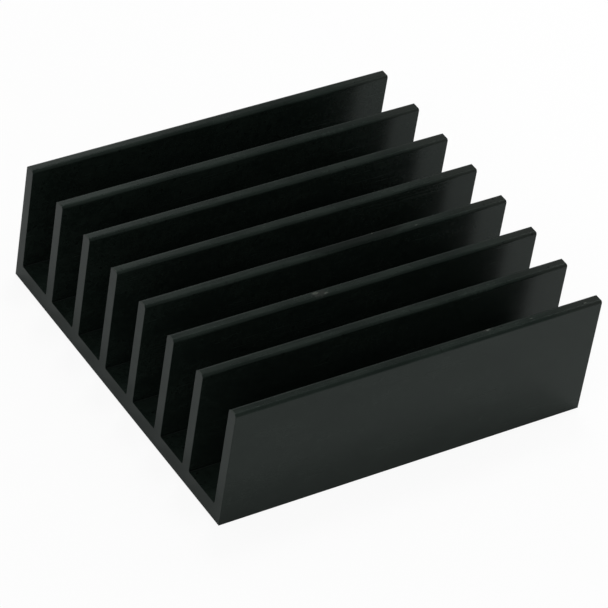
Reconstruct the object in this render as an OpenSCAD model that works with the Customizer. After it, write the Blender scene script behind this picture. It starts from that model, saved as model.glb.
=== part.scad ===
// Extruded aluminium heat sink: a flat base plate with straight upright fins.
// X runs across the fins, Y along the extrusion and Z up the fins.
// The origin is the middle of the flat underside.

/* [Overall] */

// width across the fins
sink_w = 57.5; // [30:0.5:120]
// length of the cut piece, along the fins
sink_len = 60; // [20:1:200]
// height from the underside to the fin tips
sink_h = 20.1; // [8:0.1:40]

/* [Base] */

// thickness of the base plate
base_t = 2.75; // [1.5:0.25:8]
// rounding of the two long bottom edges
base_edge_r = 0.15; // [0.1:0.05:1]

/* [Fins] */

// number of fins, with one flush with each side of the base
fin_count = 8; // [4:1:16]
// thickness of every fin
fin_t = 1.7; // [1.2:0.1:4]
// spacing of the inner fins, centre to centre
fin_pitch = 7.72; // [4:0.02:14]
// rounding of the fin tips' two long edges
tip_r = 0.5; // [0.1:0.05:0.55]
// fillet where a fin meets the base
root_r = 0.3; // [0.2:0.1:1.2]

/* [Cut ends] */

// rounding of the upper and lower corners of each cut end, seen from the side
end_r = 0.15; // [0.1:0.05:0.8]

/* [Build] */

// node to draw

/* [Hidden] */

$fn = 64;
inner_count = fin_count - 2;
// overshoot that keeps cuts clear of coincident faces
over = 1;

// centre of inner fin i, counted from 0 at the -X side
function inner_x(i) = (i - (inner_count - 1) / 2) * fin_pitch;

// what is left outside a quarter round of radius r that fills the corner at the origin from +X and +Y
module corner_waste(r) {
    difference() {
        translate([-over, -over])
            square(over + r);
        translate([r, r])
            circle(r = r);
    }
}

// straight fin rooted in the base, with its two tip edges rounded
module fin_section() {
    difference() {
        translate([-fin_t / 2, base_t / 2])
            square([fin_t, sink_h - base_t / 2]);
        translate([-fin_t / 2, sink_h])
            mirror([0, 1])
                corner_waste(tip_r);
        translate([fin_t / 2, sink_h])
            rotate(180)
                corner_waste(tip_r);
    }
}

// concave fillet for a wall that stands at x = 0 on a floor at z = 0, on the wall's +X side
module root_fillet() {
    difference() {
        translate([-root_r / 2, -root_r / 2])
            square(root_r * 3 / 2);
        translate([root_r, root_r])
            circle(r = root_r);
    }
}

// base plate with its two long bottom edges rounded
module base_section() {
    difference() {
        translate([-sink_w / 2, 0])
            square([sink_w, base_t]);
        translate([-sink_w / 2, 0])
            corner_waste(base_edge_r);
        translate([sink_w / 2, 0])
            mirror([1, 0])
                corner_waste(base_edge_r);
    }
}

// the extruded section, drawn with the fins' height along +Y
module sink_section() {
    base_section();
    for (i = [0 : inner_count - 1])
        translate([inner_x(i), 0]) {
            fin_section();
            translate([fin_t / 2, base_t])
                root_fillet();
            translate([-fin_t / 2, base_t])
                mirror([1, 0])
                    root_fillet();
        }
    for (side = [0, 1])
        mirror([side, 0])
            translate([(fin_t - sink_w) / 2, 0]) {
                fin_section();
                translate([fin_t / 2, base_t])
                    root_fillet();
            }
}

// waste along the two lower or the two upper edges of the cut ends
module end_edge_waste() {
    for (side = [0, 1])
        mirror([0, side, 0])
            translate([-sink_w / 2 - over, -sink_len / 2, 0])
                rotate([90, 0, 90])
                    linear_extrude(sink_w + 2 * over)
                        corner_waste(end_r);
}

module heatsink() {
    color([0.03, 0.03, 0.03])
        difference() {
            translate([0, sink_len / 2, 0])
                rotate([90, 0, 0])
                    linear_extrude(sink_len)
                        sink_section();
            end_edge_waste();
            translate([0, 0, sink_h])
                mirror([0, 0, 1])
                    end_edge_waste();
        }
}

heatsink();
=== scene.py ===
import math
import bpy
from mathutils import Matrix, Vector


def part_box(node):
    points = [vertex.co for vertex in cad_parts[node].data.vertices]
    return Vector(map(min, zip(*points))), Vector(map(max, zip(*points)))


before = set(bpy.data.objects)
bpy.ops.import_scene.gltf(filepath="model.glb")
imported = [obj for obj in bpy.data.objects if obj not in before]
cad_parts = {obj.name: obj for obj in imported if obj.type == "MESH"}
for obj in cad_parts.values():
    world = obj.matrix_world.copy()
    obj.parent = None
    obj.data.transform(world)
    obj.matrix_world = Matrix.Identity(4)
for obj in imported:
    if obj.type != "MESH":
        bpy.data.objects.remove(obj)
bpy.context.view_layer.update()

from types import SimpleNamespace

import bpy
from mathutils import Quaternion, Vector

lo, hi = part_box("heatsink")
middle = (lo + hi) / 2
width = hi.x - lo.x

MM_PER_M = 1000.0
tip_height = (hi.z - lo.z) * MM_PER_M

scene = bpy.context.scene
scene.view_settings.view_transform = "Standard"


# ---------------------------------------------------------------- values of the finish
# Places and lengths are in millimetres and noise scales per millimetre. Only the bumps' depths and
# the soft edge's radius are in metres.

BLACK = (0.0042, 0.0070, 0.0056, 1)
BLACK_PALE = (0.0092, 0.0136, 0.0111, 1)
SAWN = (0.0062, 0.0092, 0.0080, 1)
SAWN_PALE = (0.0106, 0.0150, 0.0131, 1)
# colour of the real pits; it also paints shade into the fillets at the fin roots
PIT_AND_ROOT_SHADE = (0.0026, 0.0040, 0.0033, 1)
STAIN = (0.0020, 0.0037, 0.0028, 1)
# pale colour of the real scuffs; it also paints a highlight on the far ends of the fin tips
SCUFF_AND_HIGHLIGHT_PALE = (0.0165, 0.0180, 0.0160, 1)
# painted highlight on the rounded cut edges at the fin tips
CUT_EDGE_HIGHLIGHT = (0.045, 0.051, 0.046, 1)
BARE = (0.050, 0.056, 0.047, 1)

COATING_IOR = 1.27
COATING_TINT = (0.80, 1.0, 0.91, 1)
EXTRUDED_ROUGHNESS = 0.24
SAWN_ROUGHNESS = 0.36
# what the patterns and the stain then add to the roughness
LINE_SWING = 0.04
MOTTLE_SWING = 0.03
TIP_SWING = 0.03
STAIN_SHEEN = -0.05

# noises: scale, detail, roughness
STREAK_NOISE = (2.6, 3.0, 0.60)
MOTTLE_NOISE = (0.22, 3.0, 0.60)
CLOUD_NOISE = (1.1, 3.0, 0.65)
GRAIN_NOISE = (11.0, 2.0, 0.60)
PIT_NOISE = (1.5, 0.0, 0.50)
SAW_NOISE = (3.4, 3.0, 0.65)
TIP_NOISE = (1.0, 2.0, 0.50)
RAGGED_NOISE = (3.2, 3.0, 0.70)
STAIN_NOISE = (1.1, 3.0, 0.60)

# how far a noise is squeezed along an axis, 1 being not at all
STREAK_SQUEEZE_Y = 0.012
MOTTLE_SQUEEZE_Y = 0.4
TIP_SQUEEZE_X = 0.6
TIP_SQUEEZE_Y = 0.11
SAW_SQUEEZE_X = 0.03

# parts of a noise's range that are spread over the whole of what it steers
SPREAD = (0.30, 0.70)
WIDE_SPREAD = (0.25, 0.75)
SAW_SPREAD = (0.35, 0.65)
TIP_SPREAD = (0.32, 0.68)
PIT_SPREAD = (0.74, 0.80)
PATCH_SHARE = 0.5
PIT_SHARE = 0.7
RAGGED_SWING = 1.5

# bumps: strength, depth
LINE_BUMP = (0.5, 0.000012)
GRAIN_BUMP = (0.4, 0.000006)
CLOUD_BUMP = (0.5, 0.0000035)
NICK_BUMP = (0.6, 0.00008)
SOFT_EDGE_RADIUS = 0.00010
SOFT_EDGE_SAMPLES = 4

# sawn ends: the round blade's axle lay below the base
SAW_AXLE_X = 22.0
SAW_AXLE_Z = -118.0

# where each region fades in: by the normal's share along Y or X, by height, by depth below the
# top of the tips, or by place along Y
END_FACE_ALONG = (0.75, 0.95)
# the cut-edge band below is a painted highlight on the rounded edges where the sawn ends meet the tips
CUT_EDGE_RISE = (0.08, 0.30)
CUT_EDGE_FALL = (0.98, 0.88)
# the root band below paints shade into the fillets and lowest walls where the fins meet the base
ROOT_ASIDE_RISE = (0.04, 0.12)
ROOT_ASIDE_FALL = (0.99, 0.96)
ROOT_HEIGHT = (3.4, 3.0)
TIP_DEPTH = (0.6, 0.4)
# the far-end band below paints a highlight on the fin tips, paler towards the far end
FAR_TIP_HIGHLIGHT_Y = (19.0, 29.0)
FAR_TIP_HIGHLIGHT_SHARE = 0.75

# small knocks along the fin tips: x, y, half width, half length
NICKS = (
    (27.55, 11.4, 0.30, 0.42),
    (3.25, 7.8, 0.26, 0.40),
    (11.38, -6.7, 0.28, 0.58),
    (11.95, -5.3, 0.17, 0.38),
    (-28.45, 5.0, 0.26, 0.60),
    (-28.50, 11.2, 0.22, 0.45),
    (4.25, 14.6, 0.14, 0.28),
    (27.90, 18.4, 0.12, 0.26),
    (28.10, 27.4, 0.14, 0.30),
)
# pale scuffed places around the larger knocks, in the same terms
SCUFFS = (
    (11.75, -6.2, 0.75, 1.5),
    (27.45, 11.2, 0.45, 0.9),
)
# darker rubbed place on one tip, in the same terms
STAINS = ((3.65, 5.0, 1.3, 8.5),)
NICK_HALF_HEIGHT = 0.35
SCUFF_HALF_HEIGHT = 0.5
STAIN_HALF_HEIGHT = 2.0
SPOT_EDGE = (1.6, 0.95)


# ---------------------------------------------------------------- node helpers

class Tree:
    """Short calls for building one node tree."""

    def __init__(self, tree):
        self.tree = tree
        tree.nodes.clear()

    def set_input(self, socket, value):
        if isinstance(value, bpy.types.NodeSocket):
            self.tree.links.new(value, socket)
        else:
            socket.default_value = value

    def node(self, kind, inputs=None, **settings):
        made = self.tree.nodes.new(kind)
        for key, value in settings.items():
            setattr(made, key, value)
        for key, value in (inputs or {}).items():
            self.set_input(made.inputs[key], value)
        return made

    def math(self, operation, a, b=0.0, c=0.0, clamp=False):
        made = self.node("ShaderNodeMath", {0: a, 1: b, 2: c}, operation=operation, use_clamp=clamp)
        return made.outputs[0]

    def chain(self, operation, first, *others):
        """The first value joined to each of the others in turn."""
        result = first
        for other in others:
            result = self.math(operation, result, other)
        return result

    def total(self, *values):
        return self.chain("ADD", *values)

    def product(self, *values):
        return self.chain("MULTIPLY", *values)

    def remap(self, value, low, high, to_low=0.0, to_high=1.0, smooth=True):
        made = self.node("ShaderNodeMapRange",
                         {"Value": value, "From Min": low, "From Max": high,
                          "To Min": to_low, "To Max": to_high},
                         interpolation_type="SMOOTHSTEP" if smooth else "LINEAR")
        return made.outputs["Result"]

    def noise(self, vector, scale, detail, roughness):
        made = self.node("ShaderNodeTexNoise",
                         {"Vector": vector, "Scale": scale, "Detail": detail, "Roughness": roughness})
        return made.outputs["Fac"]

    def combine(self, x, y, z):
        return self.node("ShaderNodeCombineXYZ", {0: x, 1: y, 2: z}).outputs[0]

    def mix(self, share, a, b):
        made = self.node("ShaderNodeMix", data_type="RGBA")
        sockets = [s for s in made.inputs if s.enabled]
        for socket, value in zip(sockets, (share, a, b)):
            self.set_input(socket, value)
        return [s for s in made.outputs if s.enabled][0]

    def bump(self, normal, height, strength, depth, invert=False):
        made = self.node("ShaderNodeBump",
                         {"Strength": strength, "Distance": depth, "Height": height, "Normal": normal},
                         invert=invert)
        return made.outputs[0]

    def spots(self, at, places, half_height, shape):
        """Soft ragged ellipsoids at the given places, all at the height of the fin tips."""
        found = None
        for centre_x, centre_y, half_width, half_length in places:
            offsets = [self.math("DIVIDE", self.math("SUBTRACT", value, centre), half)
                       for value, centre, half in ((at.x, centre_x, half_width),
                                                   (at.y, centre_y, half_length),
                                                   (at.z, tip_height, half_height))]
            away = self.total(*[self.product(offset, offset) for offset in offsets])
            spot = self.remap(self.total(away, shape), *SPOT_EDGE)
            found = spot if found is None else self.math("MAXIMUM", found, spot)
        return found


def new_material(name):
    mat = bpy.data.materials.new(name)
    mat.use_nodes = True
    return mat, Tree(mat.node_tree)


# ---------------------------------------------------------------- black anodised finish

def surface_regions(t):
    """Where a point lies on the part: its place in millimetres, and its share of each region."""
    coord = t.node("ShaderNodeTexCoord")
    mm = t.node("ShaderNodeVectorMath", {0: coord.outputs["Object"], "Scale": MM_PER_M},
                operation="SCALE").outputs[0]
    x, y, z = t.node("ShaderNodeSeparateXYZ", {0: mm}).outputs
    normal = t.node("ShaderNodeSeparateXYZ", {0: coord.outputs["Normal"]}).outputs
    aside = t.math("ABSOLUTE", normal[0])
    along = t.math("ABSOLUTE", normal[1])
    tip_from, tip_to = (tip_height - depth for depth in TIP_DEPTH)
    tip = t.remap(z, tip_from, tip_to)
    return SimpleNamespace(
        mm=mm, x=x, y=y, z=z, tip=tip,
        end_face=t.remap(along, *END_FACE_ALONG),
        # painted highlight along the rounded cut edges of the fin tips
        cut_edge_highlight=t.product(t.remap(along, *CUT_EDGE_RISE), t.remap(along, *CUT_EDGE_FALL), tip),
        # painted shade in the fillets where the fins meet the base
        root=t.product(t.remap(aside, *ROOT_ASIDE_RISE), t.remap(aside, *ROOT_ASIDE_FALL),
                       t.remap(z, *ROOT_HEIGHT)),
        # painted highlight, paler towards the far ends of the fin tips
        far_tip_painted_highlight=t.product(tip, t.remap(y, *FAR_TIP_HIGHLIGHT_Y, 0.0, FAR_TIP_HIGHLIGHT_SHARE)),
    )


def surface_patterns(t, at):
    """What extruding, sawing and anodising left all over the part."""
    streaks = t.noise(t.combine(at.x, t.product(at.y, STREAK_SQUEEZE_Y), at.z), *STREAK_NOISE)
    from_axle = [t.math("SUBTRACT", at.x, SAW_AXLE_X), t.math("SUBTRACT", at.z, SAW_AXLE_Z)]
    radius = t.math("SQRT", t.total(*[t.product(offset, offset) for offset in from_axle]))
    saw = t.noise(t.combine(radius, t.product(at.x, SAW_SQUEEZE_X), 0.0), *SAW_NOISE)
    tip_place = t.combine(t.product(at.x, TIP_SQUEEZE_X), t.product(at.y, TIP_SQUEEZE_Y), 0.0)
    return SimpleNamespace(
        saw=saw,
        lines=t.total(t.product(streaks, t.math("SUBTRACT", 1.0, at.end_face)),
                      t.product(saw, at.end_face)),
        mottle=t.noise(t.combine(at.x, t.product(at.y, MOTTLE_SQUEEZE_Y), at.z), *MOTTLE_NOISE),
        cloud=t.noise(at.mm, *CLOUD_NOISE),
        grain=t.noise(at.mm, *GRAIN_NOISE),
        pits=t.remap(t.noise(at.mm, *PIT_NOISE), *PIT_SPREAD, 0.0, PIT_SHARE),
        tip_patches=t.remap(t.noise(tip_place, *TIP_NOISE), *TIP_SPREAD),
    )


def surface_wear(t, at):
    """Knocks, scuffs and a stain on the fin tips."""
    ragged = t.remap(t.noise(at.mm, *RAGGED_NOISE), *SPREAD, 0.0, RAGGED_SWING, smooth=False)
    return SimpleNamespace(
        nicks=t.spots(at, NICKS, NICK_HALF_HEIGHT, ragged),
        scuffs=t.spots(at, SCUFFS, SCUFF_HALF_HEIGHT, ragged),
        stain=t.product(at.tip, t.spots(at, STAINS, STAIN_HALF_HEIGHT, t.noise(at.mm, *STAIN_NOISE))),
    )


def anodised_colour(t, at, pattern, wear):
    patches = t.total(t.remap(pattern.mottle, *SPREAD, 0.0, PATCH_SHARE),
                      t.remap(pattern.cloud, *SPREAD, 0.0, PATCH_SHARE))
    pale = t.total(t.product(patches, t.math("SUBTRACT", 1.0, at.tip)),
                   t.product(pattern.tip_patches, at.tip))
    colour = t.mix(pale, BLACK, BLACK_PALE)
    sawn = t.mix(t.remap(pattern.saw, *SAW_SPREAD), SAWN, SAWN_PALE)
    layers = (
        # painted highlight on the far ends of the fin tips
        (at.far_tip_painted_highlight, SCUFF_AND_HIGHLIGHT_PALE),
        (at.end_face, sawn),
        # painted highlight on the rounded cut edges of the fin tips
        (at.cut_edge_highlight, CUT_EDGE_HIGHLIGHT),
        # painted shade in the fin-root fillets
        (at.root, PIT_AND_ROOT_SHADE),
        (wear.stain, STAIN),
        (pattern.pits, PIT_AND_ROOT_SHADE),
        (wear.scuffs, SCUFF_AND_HIGHLIGHT_PALE),
        (wear.nicks, BARE),
    )
    for share, layer in layers:
        colour = t.mix(share, colour, layer)
    return colour


def anodised_roughness(t, at, pattern, wear):
    def swing(value, spread, size, smooth=False):
        return t.remap(value, *spread, -size, size, smooth=smooth)

    return t.total(
        t.remap(at.end_face, 0.0, 1.0, EXTRUDED_ROUGHNESS, SAWN_ROUGHNESS, smooth=False),
        swing(pattern.lines, WIDE_SPREAD, LINE_SWING),
        swing(pattern.mottle, WIDE_SPREAD, MOTTLE_SWING),
        t.product(wear.stain, STAIN_SHEEN),
        t.product(at.tip, swing(pattern.cloud, SPREAD, -TIP_SWING, smooth=True)),
    )


def anodised_normal(t, pattern, wear):
    soft_edge = t.node("ShaderNodeBevel", {"Radius": SOFT_EDGE_RADIUS}, samples=SOFT_EDGE_SAMPLES)
    normal = soft_edge.outputs[0]
    normal = t.bump(normal, pattern.lines, *LINE_BUMP)
    normal = t.bump(normal, pattern.grain, *GRAIN_BUMP)
    normal = t.bump(normal, pattern.cloud, *CLOUD_BUMP)
    return t.bump(normal, wear.nicks, *NICK_BUMP, invert=True)


def black_anodised():
    mat, t = new_material("black_anodised_finish")
    at = surface_regions(t)
    pattern = surface_patterns(t, at)
    wear = surface_wear(t, at)
    coating = t.node("ShaderNodeBsdfPrincipled",
                     {"Base Color": anodised_colour(t, at, pattern, wear),
                      "Roughness": anodised_roughness(t, at, pattern, wear),
                      "IOR": COATING_IOR,
                      "Specular Tint": COATING_TINT,
                      "Normal": anodised_normal(t, pattern, wear)})
    t.node("ShaderNodeOutputMaterial", {"Surface": coating.outputs[0]})
    return mat


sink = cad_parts["heatsink"]
sink.material_slots[0].material = black_anodised()


# ---------------------------------------------------------------- floor and world

FLOOR_COLOUR = (0.9, 0.9, 0.9, 1)
FLOOR_HALF_SIDE = 3.0
FLOOR_GAP = 0.00002
WORLD_STRENGTH = 0.44
WHITE_STRENGTH = 1.0

# share of plain white light that the camera, and a reflection, sees in place of the lit surface
FLOOR_WHITE_SEEN = (0.92, 0.08)
WORLD_WHITE_SEEN = (1.0, 0.05)


def white_share(t, to_camera, to_glossy):
    path = t.node("ShaderNodeLightPath").outputs
    share = t.product(path["Is Camera Ray"], to_camera)
    share = t.math("MULTIPLY_ADD", path["Is Transmission Ray"], to_camera, share)
    return t.math("MULTIPLY_ADD", path["Is Glossy Ray"], to_glossy, share, clamp=True)


def make_floor():
    mat, t = new_material("floor_white")
    paper = t.node("ShaderNodeBsdfDiffuse", {"Color": FLOOR_COLOUR}).outputs[0]
    white = t.node("ShaderNodeEmission", {"Strength": WHITE_STRENGTH}).outputs[0]
    mixed = t.node("ShaderNodeMixShader", {0: white_share(t, *FLOOR_WHITE_SEEN), 1: paper, 2: white})
    t.node("ShaderNodeOutputMaterial", {"Surface": mixed.outputs[0]})

    side = FLOOR_HALF_SIDE
    mesh = bpy.data.meshes.new("studio_floor")
    corners = [(-side, -side, 0), (side, -side, 0), (side, side, 0), (-side, side, 0)]
    mesh.from_pydata(corners, [], [(0, 1, 2, 3)])
    mesh.materials.append(mat)
    floor = bpy.data.objects.new("studio_floor", mesh)
    floor.location.z = lo.z - FLOOR_GAP
    scene.collection.objects.link(floor)


def make_world():
    world = bpy.data.worlds.new("studio_world")
    scene.world = world
    world.use_nodes = True
    t = Tree(world.node_tree)
    soft = t.node("ShaderNodeBackground", {"Strength": WORLD_STRENGTH}).outputs[0]
    white = t.node("ShaderNodeBackground", {"Strength": WHITE_STRENGTH}).outputs[0]
    mixed = t.node("ShaderNodeMixShader", {0: white_share(t, *WORLD_WHITE_SEEN), 1: soft, 2: white})
    t.node("ShaderNodeOutputWorld", {"Surface": mixed.outputs[0]})


# ---------------------------------------------------------------- lamps and camera
# Azimuths turn from the near end towards +X and elevations rise from the floor, both in degrees.

# lamps: azimuth, elevation, distance and side in metres, power in watts
LAMPS = {
    "key_lamp": (-128, 72, 0.60, 0.12, 0.86),
    "rear_lamp": (180, 37, 0.20, 0.08, 0.109),
    "front_lamp": (30, 35, 0.90, 0.50, 2.32),
    "side_lamp": (-103, 35, 0.33, 0.15, 0.086),
}

CAMERA_AZIMUTH = 52.04122
CAMERA_ELEVATION = 39.52204
CAMERA_ROLL = 9.65240
CAMERA_DISTANCE = 9.702058    # in widths of the part, as is how far the camera then steps right and up
CAMERA_STEP = (0.000144, -0.041195)
CAMERA_SENSOR_MM = 36.0
CAMERA_LENS_MM = 233.00526
CAMERA_CLIP = (0.01, 20.0)


def stand_off(obj, azimuth, elevation, distance, roll=0.0):
    """Puts an object at a distance from the part's middle, facing it, and adds it to the scene."""
    turn, rise = math.radians(azimuth), math.radians(elevation)
    back = Vector((math.sin(turn) * math.cos(rise), -math.cos(turn) * math.cos(rise), math.sin(rise)))
    facing = back.to_track_quat("Z", "Y") @ Quaternion((0, 0, 1), math.radians(roll))
    obj.location = middle + back * distance
    obj.rotation_mode = "QUATERNION"
    obj.rotation_quaternion = facing
    scene.collection.objects.link(obj)


def make_lamp(name, azimuth, elevation, distance, side, power):
    data = bpy.data.lights.new(name, "AREA")
    data.shape = "SQUARE"
    data.size = side
    data.energy = power
    stand_off(bpy.data.objects.new(name, data), azimuth, elevation, distance)


def make_camera():
    data = bpy.data.cameras.new("main_camera")
    data.sensor_width = CAMERA_SENSOR_MM
    data.lens = CAMERA_LENS_MM
    data.clip_start, data.clip_end = CAMERA_CLIP
    camera = bpy.data.objects.new("main_camera", data)
    stand_off(camera, CAMERA_AZIMUTH, CAMERA_ELEVATION, CAMERA_DISTANCE * width, CAMERA_ROLL)
    camera.location += camera.rotation_quaternion @ Vector((*CAMERA_STEP, 0.0)) * width
    scene.camera = camera


make_floor()
make_world()
for lamp, values in LAMPS.items():
    make_lamp(lamp, *values)
make_camera()
